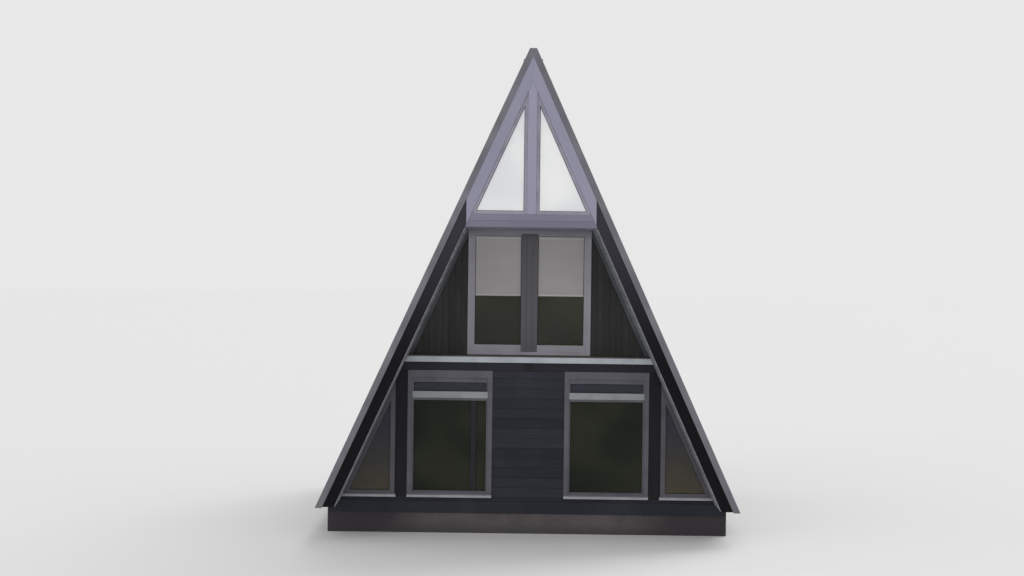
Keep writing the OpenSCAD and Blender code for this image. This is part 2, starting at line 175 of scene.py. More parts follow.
def foldSheet(name, corner, span, folds, thick, edge):
    # A bent sheet as long as span. Its legs follow each other from a corner, and it faces span x first leg
    corner, span = Vector(corner), Vector(span)
    folds = [Vector(fold) for fold in folds]
    bpy.ops.mesh.primitive_plane_add(size=1)
    piece = bpy.context.active_object
    piece.name = name
    facing = span.cross(folds[0]).normalized()
    turn = Matrix((span, folds[0], facing)).transposed().to_4x4()
    piece.matrix_world = Matrix.Translation(corner + (span + folds[0]) / 2) @ turn
    applyPlace(piece)
    end = corner + folds[0]
    line = span.normalized()
    for fold in folds[1:]:
        pick(piece, "edges", lambda ends: all((co - end).cross(line).length < near for co in ends))
        bpy.ops.mesh.extrude_region_move(TRANSFORM_OT_translate={"value": fold})
        leaveEdit()
        end = end + fold
    return thicken(piece, thick, edge)


def makeRing(name, low, high, width, thick, edge):  # a casing round an opening in the back
    middle = (low + high) / 2
    bpy.ops.mesh.primitive_plane_add(size=1, rotation=(-math.pi / 2, 0, 0),
                                     location=(middle.x, backFace + seat, middle.z))
    piece = bpy.context.active_object
    piece.name = name
    piece.scale = (high.x - low.x, high.z - low.z, 1)
    applyPlace(piece)
    pick(piece, "polygons", lambda ends: True)
    bpy.ops.mesh.inset(thickness=width)
    bpy.ops.mesh.delete(type="FACE")
    leaveEdit()
    return thicken(piece, thick, edge)


def makeBoard(width, thick, edge):  # one metre long, its face towards -Y with eased long edges
    board = makeBox("board", (0, -thick, 0), (1, 0, width))
    pick(board, "edges", lambda ends: all(abs(co.y + thick) < near for co in ends)
         and abs(ends[0].x - ends[1].x) > near)
    bpy.ops.mesh.bevel(offset=edge, segments=2)
    leaveEdit()
    return board


def markGrain(mesh, length, width):  # each board gets its own piece of grain and its own tone
    shift = [random.uniform(0, 9) for _ in range(3)]
    tone = random.random()
    mesh.attributes.new("grain", "FLOAT_VECTOR", "POINT")
    mesh.attributes.new("tone", "FLOAT", "POINT")
    points = [v.co for v in mesh.vertices]
    places = [(p.x * length + shift[0], p.y + shift[1], p.z * width + shift[2]) for p in points]
    for i, place in enumerate(places):
        mesh.attributes["grain"].data[i].vector = place
        mesh.attributes["tone"].data[i].value = tone


def cutToLength(start, end, longest):  # where the boards of a row end, with their joints shifted row by row
    count = math.ceil((end - start) / longest)
    ends = []
    for i in range(count + 1):
        shift = random.uniform(-0.25, 0.25) if 0 < i < count else 0
        ends.append(start + (end - start) * (i + shift) / count)
    return ends


def layBoards(name, face, along, facing, zones, width, thick=0.018, edge=0.003, gap=0.002, longest=4.2,
              narrowest=0.006):
    # A zone's area is where it starts and ends along the boards, then across them. Its rows are counted
    # from start, and its cuts are planes
    along, facing = Vector(along), Vector(facing)
    up = facing.cross(along)
    turn = Matrix((along, -facing, up)).transposed().to_4x4()
    board = makeBoard(width - gap, thick, edge)
    parts = []
    for zone in zones:
        u0, u1, v0, v1 = zone["area"]
        start = zone.get("start", v0)
        laid = []
        row = math.floor((v0 - start) / width + near)
        while start + row * width < v1 - near:
            low = max(v0, start + row * width)
            high = min(v1, start + (row + 1) * width) - gap
            row += 1
            if high - low < narrowest:
                continue
            share = (high - low) / (width - gap)
            ends = cutToLength(u0, u1, longest)
            for a, b in zip(ends, ends[1:]):
                length = b - a - (gap if b < u1 else 0)
                copied = bpy.data.objects.new(name, board.data.copy())
                bpy.context.collection.objects.link(copied)
                markGrain(copied.data, length, share)
                place = Vector(face) + facing * seat + along * a + up * low
                stretch = Matrix.Diagonal((length, 1, share, 1))
                copied.matrix_world = Matrix.Translation(place) @ turn @ stretch
                laid.append(copied)
        part = join(laid, name)
        trim(part, zone.get("cuts", []))
        parts.append(part)
    bpy.data.objects.remove(board)
    return join(parts, name)


def boardSize(values):
    return {"thick": values["thick"], "edge": values["edge"]}


def addTo(piece, finish, slot, *replaced):  # finish and body of a new piece; the slot is not used
    piece.data.materials.clear()
    piece.data.materials.append(finish)
    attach(piece, "root")
    if replaced:
        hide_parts(*replaced)
    return piece


# Materials


def rgb(red, green, blue):  # a colour as seen on screen, 0 to 255, as the shader's linear values
    parts = [value / 255 for value in (red, green, blue)]
    return tuple(p / 12.92 if p <= 0.04045 else ((p + 0.055) / 1.055) ** 2.4 for p in parts) + (1,)


def shaded(colour, share):  # a colour with each channel at a share of its value
    return tuple(share * channel for channel in colour[:3]) + (1,)


class Wire:
    # One output socket. Sums, products and so on of wires and numbers add Math nodes
    def __init__(self, finish, socket):
        self.finish = finish
        self.socket = socket

    def math(self, operation, first, second):
        return self.finish.node("ShaderNodeMath", {"operation": operation}, {0: first, 1: second})

    def __add__(self, other):
        return self.math("ADD", self, other)

    def __radd__(self, other):
        return self.math("ADD", other, self)

    def __sub__(self, other):
        return self.math("SUBTRACT", self, other)

    def __rsub__(self, other):
        return self.math("SUBTRACT", other, self)

    def __mul__(self, other):
        return self.math("MULTIPLY", self, other)

    def __rmul__(self, other):
        return self.math("MULTIPLY", other, self)

    def __gt__(self, other):
        return self.math("GREATER_THAN", self, other)


class Tree:
    def __init__(self, tree):
        self.tree = tree

    def node(self, kind, settings=None, values=None, output=0):
        made = self.tree.nodes.new(kind)
        for key, value in (settings or {}).items():
            if key == "stops":
                for stop, (position, colour) in zip(made.color_ramp.elements, value):
                    stop.position = position
                    stop.color = colour
            else:
                setattr(made, key, value)
        for key, value in (values or {}).items():
            self.plug(made.inputs[key], value)
        return Wire(self, made.outputs[output])

    def plug(self, socket, value):
        if isinstance(value, Wire):
            self.tree.links.new(value.socket, socket)
        else:
            socket.default_value = value


class Finish(Tree):
    def __init__(self, name, **plain):
        self.material = bpy.data.materials.new(name)
        self.material.use_nodes = True
        super().__init__(self.material.node_tree)
        self.shader = self.tree.nodes["Principled BSDF"]
        self.place = self.node("ShaderNodeTexCoord", output="Object")
        for socket, value in plain.items():
            self.shader.inputs[socket.replace("_", " ")].default_value = value

    def set(self, **wires):
        for socket, value in wires.items():
            self.plug(self.shader.inputs[socket.replace("_", " ")], value)
        return self.material

    def stretch(self, vector, by):
        return self.node("ShaderNodeVectorMath", {"operation": "MULTIPLY"}, {0: vector, 1: by})

    def noise(self, vector, scale, detail=3.0, rough=0.5):
        values = {"Vector": vector, "Scale": scale, "Detail": detail, "Roughness": rough}
        return self.node("ShaderNodeTexNoise", {}, values)

    def stepTone(self, value):  # a fixed random tone for each whole step of the value
        number = self.node("ShaderNodeMath", {"operation": "FLOOR"}, {0: value})
        return self.node("ShaderNodeTexWhiteNoise", {"noise_dimensions": "1D"}, {"W": number})

    def ramp(self, value, low, high):  # 0 below low, 1 above high, smooth between
        return self.node("ShaderNodeMapRange", {"interpolation_type": "SMOOTHSTEP"},
                         {"Value": value, "From Min": low, "From Max": high})

    def mix(self, factor, first, second):
        return self.node("ShaderNodeMix", {"data_type": "RGBA"}, {0: factor, 6: first, 7: second}, output=2)

    def axis(self, name):
        return self.node("ShaderNodeSeparateXYZ", {}, {0: self.place}, output=name)

    def fromMiddle(self):  # distance to either side of the house's middle
        return self.node("ShaderNodeMath", {"operation": "ABSOLUTE"}, {0: self.axis("X")})

    def bump(self, height, distance, strength=1.0):
        values = {"Height": height, "Distance": distance, "Strength": strength}
        return self.node("ShaderNodeBump", {}, values)


def boardFinish(name, light, dark, rough=0.62, relief=0.0012, weather=None, gloss=0.3):
    finish = Finish(name, Specular_IOR_Level=gloss)
    grain = finish.node("ShaderNodeAttribute", {"attribute_name": "grain"}, output="Vector")
    tone = finish.node("ShaderNodeAttribute", {"attribute_name": "tone"}, output="Fac")
    fibre = finish.noise(finish.stretch(grain, (2.5, 70, 70)), 1.0, 6, 0.6)
    figure = finish.noise(finish.stretch(grain, (0.7, 14, 14)), 1.0, 2)
    cloud = finish.noise(finish.place, 0.9, 3)
    amount = 0.42 * fibre + 0.25 * figure + 0.38 * tone + 0.3 * cloud - 0.2
    colour = finish.mix(finish.ramp(amount, 0.1, 0.9), light, dark)
    if weather:
        worn = finish.ramp(finish.noise(finish.stretch(finish.place, (1.2, 1.2, 0.35)), 1.6, 5), 0.5, 0.8)
        colour = finish.mix(worn * 0.35, colour, weather)
    return finish.set(Base_Color=colour, Roughness=rough - 0.12 + 0.25 * fibre,
                      Normal=finish.bump(fibre + 0.6 * figure, relief))


def timberFinish(name, light, dark, along="X", board=0.14, rough=0.55, gloss=0.3, upwardTone=None):
    # For a imported node of boards: the lines between them come from their width. The colour may turn to
    # another between a start and an end in height
    finish = Finish(name, Specular_IOR_Level=gloss)
    stretched = {"X": (2.5, 60, 60), "Y": (60, 2.5, 60), "Z": (60, 60, 2.5)}[along]
    across = {"X": "Y", "Y": "X", "Z": "X"}[along]
    fibre = finish.noise(finish.stretch(finish.place, stretched), 1.0, 5, 0.6)
    row = finish.axis(across) * (1 / board)
    part = finish.node("ShaderNodeMath", {"operation": "FRACT"}, {0: row})
    tone = finish.stepTone(row)
    line = 1 - finish.ramp(part, 0.0, 0.03) + finish.ramp(part, 0.97, 1.0)
    colour = finish.mix(finish.ramp(0.6 * fibre + 0.4 * tone, 0.2, 0.8), light, dark)
    if upwardTone:
        amount = finish.ramp(finish.axis("Z") + 0.5 * fibre, upwardTone["start"], upwardTone["end"])
        colour = finish.mix(amount, colour, upwardTone["colour"])
    colour = finish.mix(line * 0.8, colour, shaded(dark, 0.25))
    return finish.set(Base_Color=colour, Roughness=rough + 0.15 * fibre,
                      Normal=finish.bump(fibre * 0.3 - line, 0.0015))


def sheetFinish(name, colour, shade, metallic=0.35, rough=0.42, streak=0.35, flow=(1, 1.3, 1), trays=None):
    # Coated sheet metal: faint waves in the flat, a film of dust and thin runs down the slope. Each tray
    # between the seams has its own tone
    finish = Finish(name, Metallic=metallic, Specular_IOR_Level=0.4)
    wave = finish.noise(finish.stretch(finish.place, flow), 1.4, 2)
    dust = finish.noise(finish.stretch(finish.place, flow), 3.2, 5, 0.6)
    runs = finish.ramp(finish.noise(finish.stretch(finish.place, (0.5, 14, 0.5)), 1.5, 4), 0.5, 0.85)
    amount = finish.ramp(0.5 * dust + 0.5 * wave, 0.3, 0.7)
    if trays:
        tone = finish.stepTone((finish.axis("Y") - trays["start"]) * (1 / trays["width"]))
        amount = 0.45 * amount + 0.55 * tone
    mixed = finish.mix(amount, colour, shade)
    mixed = finish.mix(runs * streak, mixed, shaded(shade, 0.62))
    return finish.set(Base_Color=mixed, Roughness=rough - 0.06 + 0.2 * dust,
                      Normal=finish.bump(wave + 0.04 * dust, 0.004, 0.5))


def paintFinish(name, colour, shade, rough=0.45, middle=None):
    # Painted joinery: brush marks and a little chalking. A strip in the middle, behind a face, may have its
    # own colour
    finish = Finish(name, Specular_IOR_Level=0.35)
    marks = finish.noise(finish.stretch(finish.place, (30, 30, 30)), 1.0, 4)
    chalk = finish.noise(finish.place, 2.4, 4, 0.6)
    mixed = finish.mix(finish.ramp(chalk, 0.35, 0.75), colour, shade)
    if middle:
        outside = (finish.fromMiddle() > middle["half"]) + ((middle["face"] - finish.axis("Y")) > 0)
        mixed = finish.mix(outside, middle["colour"], mixed)
    return finish.set(Base_Color=mixed, Roughness=rough + 0.12 * marks, Normal=finish.bump(marks, 0.0004))


def plinthFinish(name, colour, shade, foot, ends=None):
    # Trowelled render with a damp foot. Towards its ends it may darken with painted shade, standing in for
    # the shade of the low eaves
    finish = Finish(name, Specular_IOR_Level=0.25)
    trowel = finish.noise(finish.place, 26, 6, 0.65)
    blotch = finish.noise(finish.place, 2.2, 4)
    damp = 1 - finish.ramp(finish.axis("Z") + blotch * 0.16, 0.06, 0.3)
    mixed = finish.mix(finish.ramp(0.6 * blotch + 0.4 * trowel, 0.3, 0.7), colour, shade)
    # painted shade: darker towards both ends, where the low eaves shade the plinth
    if ends:
        amount = finish.ramp(finish.fromMiddle() + 0.4 * blotch, ends["start"], ends["end"])
        mixed = finish.mix(amount * 0.85, mixed, ends["colour"])
    mixed = finish.mix(damp * 0.6, mixed, foot)
    return finish.set(Base_Color=mixed, Roughness=0.85 - 0.12 * trowel,
                      Normal=finish.bump(trowel + blotch, 0.004))


def glassFinish(name, tint, deep, alpha=1.0, specular=0.25, rough=0.04, viewPainted=None):
    # A pane: slow waves bend what it mirrors, and a thin film of dust dulls it here and there. Panes beyond
    # a side or above a head may get a paler painted view of ground and sky: brownish towards their foot,
    # blue-grey towards their head
    finish = Finish(name, Specular_IOR_Level=specular, IOR=1.5)
    wave = finish.noise(finish.place, 1.1, 1)
    film = finish.noise(finish.place, 2.6, 4)
    mixed = finish.mix(finish.ramp(wave, 0.3, 0.7), tint, deep)
    # painted view of ground and sky, paler than the pane's own tint
    if viewPainted:
        rise = finish.ramp(finish.axis("Z") + 0.5 * wave, viewPainted["foot"], viewPainted["head"])
        viewColour = finish.mix(rise, viewPainted["groundPainted"], viewPainted["skyPainted"])
        beyond = (finish.fromMiddle() > viewPainted["side"]) + (finish.axis("Z") > viewPainted["head"])
        mixed = finish.mix(beyond, mixed, viewColour)
    return finish.set(Base_Color=mixed, Roughness=rough + 0.05 * film, Normal=finish.bump(wave, 0.003, 0.3),
                      Alpha=alpha)


def clothFinish(name, colour, shade):
    finish = Finish(name, Specular_IOR_Level=0.15, Sheen_Weight=0.15)
    warp = finish.noise(finish.stretch(finish.place, (900, 60, 60)), 1.0, 1)
    weft = finish.noise(finish.stretch(finish.place, (60, 60, 900)), 1.0, 1)
    fold = finish.noise(finish.stretch(finish.place, (1.5, 1, 6)), 1.0, 3)
    mixed = finish.mix(finish.ramp(0.3 * warp + 0.3 * weft + 0.4 * fold, 0.3, 0.7), colour, shade)
    return finish.set(Base_Color=mixed, Roughness=0.85 + 0.1 * warp, Normal=finish.bump(warp + weft, 0.0003))


def rubberFinish(name, colour):
    finish = Finish(name, Specular_IOR_Level=0.2)
    dust = finish.noise(finish.place, 18, 4)
    mixed = finish.mix(dust * 0.5, colour, shaded(colour, 2.2))
    return finish.set(Base_Color=mixed, Roughness=0.7 + 0.2 * dust, Normal=finish.bump(dust, 0.0003))


# Where a finish changes over its piece, in metres
# The black verge timber turns paler between these heights
vergeUpwardTone = {"start": 3.2, "end": 6.2, "colour": rgb(52, 51, 59)}
doorMiddle = {"half": 0.153, "face": upperFace - 0.03, "colour": rgb(86, 86, 92)}
# Painted shade on the plinth towards both ends, under the low eaves
plinthEaveShade = {"start": 1.7, "end": 3.0, "colour": rgb(47, 44, 49)}
# Painted view of ground and sky in the corner and transom panes: brownish low, blue-grey high
paneViewPainted = {"side": 2.3, "head": 2.45, "foot": 0.8, "skyPainted": rgb(57, 57, 68),
             "groundPainted": rgb(78, 74, 60)}

darkBoards = boardFinish("dark stained boards", rgb(43, 45, 53), rgb(28, 30, 37), weather=rgb(55, 57, 63),
                         gloss=0.2)
postBoards = boardFinish("black post boards", rgb(39, 37, 40), rgb(28, 26, 29), weather=rgb(47, 45, 48),
                         gloss=0.12)
upperBoards = boardFinish("dark upright boards", rgb(55, 57, 55), rgb(39, 41, 39), weather=rgb(67, 69, 66))
greyBoards = boardFinish("grey painted boards", rgb(147, 145, 163), rgb(130, 129, 148),
                         weather=rgb(154, 153, 164))
beamBoards = boardFinish("grey beam boards", rgb(120, 117, 134), rgb(104, 101, 119),
                         weather=rgb(130, 128, 140))
soffitBoards = boardFinish("soffit boards", rgb(158, 160, 165), rgb(127, 129, 134))
deckBoards = boardFinish("deck boards", rgb(104, 99, 93), rgb(78, 74, 70), weather=rgb(122, 119, 114))
doorBoards = boardFinish("door boards", rgb(64, 68, 78), rgb(46, 49, 57))
blackTimber = timberFinish("black verge timber", rgb(17, 15, 19), rgb(11, 10, 13), along="Z", board=5,
                           gloss=0.1, upwardTone=vergeUpwardTone)
darkTimber = timberFinish("dark timber", rgb(31, 31, 38), rgb(21, 21, 28), along="Z", board=5)
slabTimber = timberFinish("roof slab timber", rgb(58, 60, 64), rgb(42, 44, 48), along="Y", board=0.3)
wallTimber = timberFinish("wall timber", rgb(50, 51, 56), rgb(36, 37, 42), along="Z", board=5)
floorTimber = timberFinish("floor timber", rgb(180, 150, 112), rgb(140, 112, 82), along="Y")
coveringLow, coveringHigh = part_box("right_roof_covering")
roofTrays = 16  # between the standing seams
trays = {"start": coveringLow.y, "width": (coveringHigh.y - coveringLow.y) / roofTrays}
roofSheet = sheetFinish("roof sheet", rgb(113, 115, 122), rgb(99, 101, 108), flow=(0.35, 2.2, 0.35),
                        trays=trays)
ridgeSheet = sheetFinish("ridge sheet", rgb(124, 125, 134), rgb(110, 111, 120), streak=0.15,
                         flow=(0.5, 0.8, 0.5))
trimSheet = sheetFinish("verge trim sheet", rgb(112, 112, 119), rgb(95, 95, 102), metallic=0.2, streak=0.2)
ledgeSheet = sheetFinish("ledge sheet", rgb(172, 177, 183), rgb(149, 153, 160), metallic=0.2, streak=0.2)
sillSheet = sheetFinish("sill sheet", rgb(155, 155, 159), rgb(136, 136, 141), metallic=0.2, streak=0.1)
slopeSheet = sheetFinish("slope trim sheet", rgb(92, 94, 101), rgb(76, 78, 85), metallic=0.2, streak=0.1)
framePaint = paintFinish("frame paint", rgb(85, 85, 92), rgb(73, 73, 80))
cornerPaint = paintFinish("corner frame paint", rgb(80, 80, 85), rgb(70, 70, 75))
doorPaint = paintFinish("balcony door paint", rgb(150, 148, 156), rgb(138, 136, 144), middle=doorMiddle)
loftPaint = paintFinish("loft frame paint", rgb(150, 148, 162), rgb(130, 128, 142))
railPaint = paintFinish("rail paint", rgb(136, 140, 141), rgb(121, 125, 126))
plinthRender = plinthFinish("plinth render", rgb(85, 80, 81), rgb(70, 66, 68), rgb(52, 49, 51),
                            ends=plinthEaveShade)
stepStone = plinthFinish("step stone", rgb(120, 112, 104), rgb(98, 91, 84), rgb(70, 66, 62))
frontPanes = glassFinish("front panes", rgb(42, 46, 33), rgb(21, 27, 20), alpha=0.72, specular=0.16,
                         viewPainted=paneViewPainted)
balconyPanes = glassFinish("balcony panes", rgb(146, 149, 130), rgb(124, 127, 110), alpha=0.1)
# Painted sky: the loft panes are an opaque near-white that stands in for bright sky in the glass
loftSkyPanes = glassFinish("loft panes", rgb(230, 231, 230), rgb(217, 218, 222), rough=0.08)
backPanes = glassFinish("back panes", rgb(40, 44, 46), rgb(26, 29, 32))
blindCloth = clothFinish("blind cloth", rgb(190, 184, 189), rgb(180, 174, 179))
barPaint = paintFinish("bar paint", rgb(206, 203, 206), rgb(196, 193, 196))
steel = sheetFinish("brushed steel", rgb(150, 151, 154), rgb(124, 125, 128), metallic=0.85, rough=0.32,
                    streak=0.1)
gasketRubber = rubberFinish("gasket rubber", rgb(30, 30, 32))
leafPaint = paintFinish("door leaf paint", rgb(62, 66, 76), rgb(48, 52, 60))

nodeFinishes = [
    (plinthRender, "front_plinth back_plinth left_plinth right_plinth"),
    (floorTimber, "ground_floor upper_floor loft_floor"),
    (darkTimber, "rim_board"),
    (ledgeSheet, "balcony_ledge"),
    (slabTimber, "left_roof right_roof"),
    (roofSheet, "left_roof_covering right_roof_covering"),
    (ridgeSheet, "ridge_cap"),
    (blackTimber, "front_left_verge_board front_right_verge_board"),
    (blackTimber, "back_left_verge_board back_right_verge_board"),
    (trimSheet, "front_left_verge_trim front_right_verge_trim back_left_verge_trim back_right_verge_trim"),
    (wallTimber, "front_lower_wall front_upper_wall back_lower_wall back_upper_wall back_gable"),
    (loftPaint, "front_gable loft_beam loft_windows"),
    (slopeSheet, "balcony_slope_trims"),
    (framePaint, "front_left_window front_right_window back_lower_windows back_upper_windows"),
    (framePaint, "entrance_frame"),
    (cornerPaint, "front_left_corner_window front_right_corner_window"),
    (doorPaint, "balcony_doors"),
    (frontPanes, "front_glass"),
    (balconyPanes, "balcony_glass"),
    (loftSkyPanes, "loft_glass"),
    (backPanes, "back_glass"),
    (blindCloth, "roller_blinds"),
    (leafPaint, "entrance_door"),
    (stepStone, "entrance_steps"),
]
for finish, names in nodeFinishes:
    for name in names.split():
        for place in nodes[name].material_slots:
            place.material = finish
print("materials made:", len(bpy.data.materials))


def splitNode(name):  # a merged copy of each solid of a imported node, to measure or to build on
    copied = nodes[name].copy()
    copied.data = copied.data.copy()
    copied.parent = None
    bpy.context.collection.objects.link(copied)
    only(copied)
    bpy.ops.object.mode_set(mode="EDIT")
    bpy.ops.mesh.select_all(action="SELECT")
    bpy.ops.mesh.remove_doubles(threshold=1e-5)
    bpy.ops.mesh.separate(type="LOOSE")
    leaveEdit()
    for part in bpy.context.selected_objects:
        for key in list(part.keys()):
            del part[key]
    return list(bpy.context.selected_objects)


def corners(piece):
    points = [v.co for v in piece.data.vertices]
    return [Vector(f(p[i] for p in points) for i in range(3)) for f in (min, max)]


def boxesOf(name):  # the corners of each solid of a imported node
    parts = splitNode(name)
    found = sorted([corners(part) for part in parts], key=lambda box: (round(box[0].z, 3), box[0].x))
    for part in parts:
        bpy.data.objects.remove(part)
    return found


def insets(name):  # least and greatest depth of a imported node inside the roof's underside
    depths = [(underRoof(v.co.z) - abs(v.co.x)) * leanCos for v in nodes[name].data.vertices]
    return min(depths), max(depths)


# Boarding of the ground-floor front
lowerBoarding = {"row": 0.18, "thick": 0.019, "edge": 0.004, "foot": 0.362, "plinthHalf": 3.615}
soffit = {"thick": 0.012, "row": 0.12, "edge": 0.004, "gap": 0.002, "deckGap": 0.01, "eaveGap": 0.006,
          "ridgeGap": 0.03, "backRoom": 0.021}

leftLow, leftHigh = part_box("front_left_window")
rightLow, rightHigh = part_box("front_right_window")
cornerLow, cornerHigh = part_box("front_right_corner_window")
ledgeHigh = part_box("balcony_ledge")[1]
clear = 0.001  # how far boards stop short of what they meet
casingFoot = rightLow.z
underFloor = upperLow.z - clear
trimmed = slopeCuts(soffit["thick"] + 2 * clear)
front = {"along": (1, 0, 0), "facing": (0, -1, 0)}
frontUpright = {"along": (0, 0, 1), "facing": (0, -1, 0)}
lowerSize = boardSize(lowerBoarding)

plinthHalf = lowerBoarding["plinthHalf"]
skirt = layBoards(
    "front_skirt_boards", (0, lowerFace, 0),
    zones=[{"area": (-plinthHalf, plinthHalf, lowerBoarding["foot"], eaveZ)}],
    width=eaveZ - lowerBoarding["foot"], **front, **lowerSize)
addTo(skirt, darkBoards, "dark_boards")
apron = layBoards(
    "front_apron_boards", (0, lowerFace, 0),
    zones=[{"area": (-underRoof(eaveZ), underRoof(eaveZ), eaveZ + clear, casingFoot), "cuts": trimmed}],
    width=casingFoot - eaveZ - clear, **front, **lowerSize)
addTo(apron, darkBoards, "dark_boards")
centre = layBoards(
    "front_wall_boards", (0, lowerFace, 0),
    zones=[{"area": (-rightLow.x + clear, rightLow.x - clear, casingFoot, underFloor)}],
    width=lowerBoarding["row"], **front, **lowerSize)
addTo(centre, darkBoards, "dark_boards")

# Upright boards over the posts, in two widths: to the corner window's sill, and to its frame above the sill
postBoarding = {"row": 0.2, "sill": 0.05, "head": 0.2}

cornerPoints = [v.co for v in nodes["front_right_corner_window"].data.vertices]
frameSide = min(abs(co.x) for co in cornerPoints if co.z > cornerHigh.z - postBoarding["head"])
sillTop = casingFoot + postBoarding["sill"]
postZones = []
for side in (1, -1):
    for x0, x1, z0 in ((rightHigh.x + clear, cornerLow.x - clear, casingFoot),
                       (cornerLow.x, frameSide - clear, sillTop)):
        postZones.append({"area": (z0, underFloor, *sorted((-side * x0, -side * x1))), "cuts": trimmed})
posts = layBoards("front_post_boards", (0, lowerFace, 0), zones=postZones, width=postBoarding["row"],
                  gap=0.0, **frontUpright, **lowerSize)
addTo(posts, postBoards, "dark_boards")
print("ground-floor boards laid")

# Light covers on the transom rails
railCover = {"thick": 0.02, "edge": 0.004, "gap": 0.002, "side": 0.082, "foot": 0.042}

pocket = 0.0118  # how far a pane goes into its frame
windowPanes = [box for box in boxesOf("front_glass") if abs(box[0].x) < rightHigh.x]
bigPanes, transoms = windowPanes[:2], windowPanes[2:]
covers = []
for big, transom, (low, high) in zip(bigPanes, transoms, ((leftLow, leftHigh), (rightLow, rightHigh))):
    foot = big[1].z - pocket + railCover["foot"]
    top = transom[0].z + pocket - railCover["gap"]
    covers.append(makeBox(
        "cover", (low.x + railCover["side"], lowerFace - seat - railCover["thick"], foot),
        (high.x - railCover["side"], lowerFace - seat, top), railCover["edge"]))
addTo(join(covers, "transom_rail_covers"), railPaint, "frame_paint")

# Dark cover on the narrow stile of the left window, folded round its sides. Its place is counted from the
# right edge of the light
stileCover = {"from": 0.272, "to": 0.19, "depth": 0.029, "thick": 0.003, "edge": 0.001}

paneLow, paneHigh = bigPanes[0]
lightSide = paneHigh.x - pocket
stileX = (lightSide - stileCover["from"], lightSide - stileCover["to"])
stileZ = (paneLow.z + pocket + clear, paneHigh.z - pocket - clear)
stile = foldSheet(
    "side_stile_cover", (stileX[0] - seat, lowerFace - 2 * seat + stileCover["depth"], stileZ[1]),
    (0, 0, stileZ[0] - stileZ[1]),
    [(0, -stileCover["depth"], 0), (stileX[1] - stileX[0] + 2 * seat, 0, 0), (0, stileCover["depth"], 0)],
    stileCover["thick"], stileCover["edge"])
addTo(stile, darkTimber, "dark_trim")

# Light sheet covers on the sills, with a drip below the nose
sillCover = {"drip": 0.006, "nose": 0.034, "run": 0.034, "rise": 0.012, "lift": 0.0006, "thick": 0.002,
             "edge": 0.0008}

sills = []
for side in (1, -1):
    for low, high in ((rightLow.x, rightHigh.x), (cornerLow.x, cornerHigh.x)):
        x0, x1 = sorted((side * low, side * high))
        cover = foldSheet(
            "sill_cover", (x0, rightLow.y - seat, rightLow.z - sillCover["drip"]), (x1 - x0, 0, 0),
            [(0, 0, sillCover["drip"] + sillCover["nose"] + sillCover["lift"]),
             (0, sillCover["run"], sillCover["rise"])],
            sillCover["thick"], sillCover["edge"])
        trim(cover, trimmed)
        sills.append(cover)
addTo(join(sills, "front_sill_covers"), sillSheet, "trim_metal")
print("window covers made")

# Upright boards of the first-floor front
upperBoarding = {"row": 0.118, "thick": 0.019, "edge": 0.004, "deckTop": 0.022}

doorLow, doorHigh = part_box("balcony_doors")
deckZ = upperHigh.z
trimInset = insets("balcony_slope_trims")[1] + 2 * clear
upperZones = []
for side in (1, -1):
    edgeX = doorHigh.x + clear
    outerX = underRoof(deckZ, trimInset)
    area = (deckZ + upperBoarding["deckTop"] + clear, loftLow.z - soffit["thick"] - clear,
            *sorted((-side * edgeX, -side * outerX)))
    upperZones.append({"area": area, "start": -side * edgeX, "cuts": slopeCuts(trimInset)})
upper = layBoards("first_floor_front_boards", (0, upperFace, 0), zones=upperZones,
                  width=upperBoarding["row"], **frontUpright, **boardSize(upperBoarding))
addTo(upper, upperBoards, "dark_boards")

# Balcony deck, behind the ledge
deck = {"row": 0.1, "gap": 0.006, "thick": 0.02, "edge": 0.004, "doorGap": 0.005}

doorStop = doorLow.y - deck["doorGap"]
deckPiece = layBoards(
    "balcony_deck_boards", (0, 0, deckZ), (1, 0, 0), (0, 0, 1),
    [{"area": (-underRoof(deckZ), underRoof(deckZ), ledgeHigh.y + clear, doorStop), "cuts": trimmed}],
    width=deck["row"], gap=deck["gap"], **boardSize(deck))
addTo(deckPiece, deckBoards, "floor_timber")
print("balcony boards laid")

# Gable: a board along each slope, mitred at the ridge, and a cover on the post between the panes
gableBoarding = {"thick": 0.012, "edge": 0.003}

tail = 0.3  # length left beyond the foot for the cut
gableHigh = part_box("front_gable")[1]
slopeWidth = -insets("front_right_verge_board")[0]
postHalf = min(abs(v.co.x) for v in nodes["loft_windows"].data.vertices)
gableParts = []
for side in (1, -1):
    along = Vector((-side * lean * leanCos, 0, leanCos))
    foot = (side * underRoof(beamLow.z, -slopeWidth), gableFace, beamLow.z)
    length = (innerApex - beamLow.z + slopeWidth / leanCos / lean) / leanCos
    planes = [
        (Vector((0, 0, beamLow.z + clear)), Vector((0, 0, -1))),
        (Vector((side * (gableHigh.x - clear), 0, 0)), Vector((side, 0, 0))),
        (Vector((side * clear / 2, 0, 0)), Vector((-side, 0, 0))),
        (Vector((0, 0, gableHigh.z - clear)), Vector((0, 0, 1))),
    ]
    across = sorted((side * 2 * clear, side * (slopeWidth - clear)))
    gableParts.append(layBoards(
        "gable_board", foot, along, (0, -1, 0), [{"area": (-tail, length, *across), "cuts": planes}],
        width=slopeWidth, gap=0.0, longest=9, **gableBoarding))
gableParts.append(layBoards(
    "post_cover", (0, gableFace, 0),
    zones=[{"area": (beamHigh.z + clear, innerApex, -postHalf + clear, postHalf - clear),
            "cuts": slopeCuts(2 * clear)}],
    width=2 * postHalf, gap=0.0, **frontUpright, **gableBoarding))
addTo(join(gableParts, "gable_boards"), greyBoards, "grey_boards")

# Beam under the loft panes: two boards and a dark drip strip at their foot
beamBoarding = {"rows": 2, "strip": 0.01, "stripOut": 0.014, "stripBack": 0.015, "stripEdge": 0.002}

